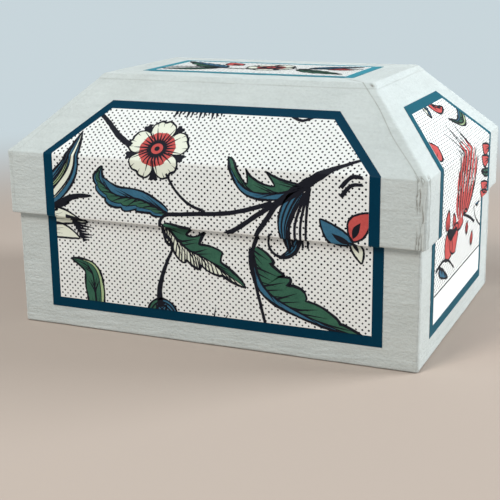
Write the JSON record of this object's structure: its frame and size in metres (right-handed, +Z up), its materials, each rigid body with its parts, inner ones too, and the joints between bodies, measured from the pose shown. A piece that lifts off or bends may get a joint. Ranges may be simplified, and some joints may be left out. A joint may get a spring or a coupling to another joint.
{
  "type": "sewing box with trays",
  "caption": "Cloth-covered board sewing box with a hipped lift-off lid, bordered printed panels and stacking lift-out trays inside.",
  "frame": {"origin": "middle of the underside", "axes": "+X along the box's length, to its right; +Y to its back, the front facing -Y; +Z up"},
  "size_m": [0.281, 0.201, 0.1645],
  "materials": {
    "book_cloth": "off-white book cloth, fine woven texture, low sheen",
    "grey_board": "bare grey board",
    "border_paper": "deep blue paper, slight sheen",
    "printed_paper": "dotted white paper with a botanical print, matte",
    "lining_paper": "mid-blue lining paper, matte",
    "lined_board": "board faced with mid-blue lining paper",
    "cloth_covered_board": "board covered with off-white book cloth",
    "blue_covered_board": "board covered with deep blue paper",
    "ribbon": "coral grosgrain ribbon"
  },
  "bodies": {
    "base": {"underside_sheet": "book_cloth", "base_floor": "grey_board", "base_floor_lining": "lining_paper", "base_cover": "book_cloth", "base_front_wall": "grey_board", "base_right_wall": "grey_board", "base_back_wall": "grey_board", "base_left_wall": "grey_board", "tray_ledge_front": "lined_board", "tray_ledge_right": "lined_board", "tray_ledge_back": "lined_board", "tray_ledge_left": "lined_board", "base_front_border": "border_paper", "base_right_border": "border_paper", "base_back_border": "border_paper", "base_left_border": "border_paper", "base_front_print": "printed_paper", "base_right_print": "printed_paper", "base_back_print": "printed_paper", "base_left_print": "printed_paper"},
    "lid": {"lid_cover": "book_cloth", "lid_lining": "lining_paper", "lid_top_board": "grey_board", "lid_top_border": "border_paper", "lid_top_print": "printed_paper", "lid_front_skirt": "grey_board", "lid_front_slope": "grey_board", "lid_front_border": "border_paper", "lid_front_print": "printed_paper", "lid_right_skirt": "grey_board", "lid_right_slope": "grey_board", "lid_right_border": "border_paper", "lid_right_print": "printed_paper", "lid_back_skirt": "grey_board", "lid_back_slope": "grey_board", "lid_back_border": "border_paper", "lid_back_print": "printed_paper", "lid_left_skirt": "grey_board", "lid_left_slope": "grey_board", "lid_left_border": "border_paper", "lid_left_print": "printed_paper"},
    "upper_tray": {"upper_tray_floor": "cloth_covered_board", "upper_tray_front_wall": "cloth_covered_board", "upper_tray_back_wall": "cloth_covered_board", "upper_tray_left_wall": "cloth_covered_board", "upper_tray_right_wall": "cloth_covered_board", "upper_tray_long_divider": "blue_covered_board", "upper_tray_left_divider": "blue_covered_board", "upper_tray_right_divider": "blue_covered_board", "upper_tray_left_pull": "ribbon", "upper_tray_right_pull": "ribbon"},
    "lower_tray": {"lower_tray_floor": "cloth_covered_board", "lower_tray_front_wall": "cloth_covered_board", "lower_tray_back_wall": "cloth_covered_board", "lower_tray_left_wall": "cloth_covered_board", "lower_tray_right_wall": "cloth_covered_board", "lower_tray_divider": "blue_covered_board", "lower_tray_left_pull": "ribbon", "lower_tray_right_pull": "ribbon"}
  },
  "joints": [
    {"name": "lid_lift", "type": "slide", "parent": "base", "child": "lid", "axis": [0, 0, 1], "range_m": [0, 0.33]},
    {"name": "upper_tray_lift", "type": "slide", "parent": "base", "child": "upper_tray", "axis": [0, 0, 1], "range_m": [0, 0.19]},
    {"name": "lower_tray_lift", "type": "slide", "parent": "base", "child": "lower_tray", "axis": [0, 0, 1], "range_m": [0, 0.11]}
  ],
  "couplings": [
    {"joint": "upper_tray_lift", "follows": "lid_lift", "ratio": 0.57},
    {"joint": "lower_tray_lift", "follows": "lid_lift", "ratio": 0.33}
  ]
}
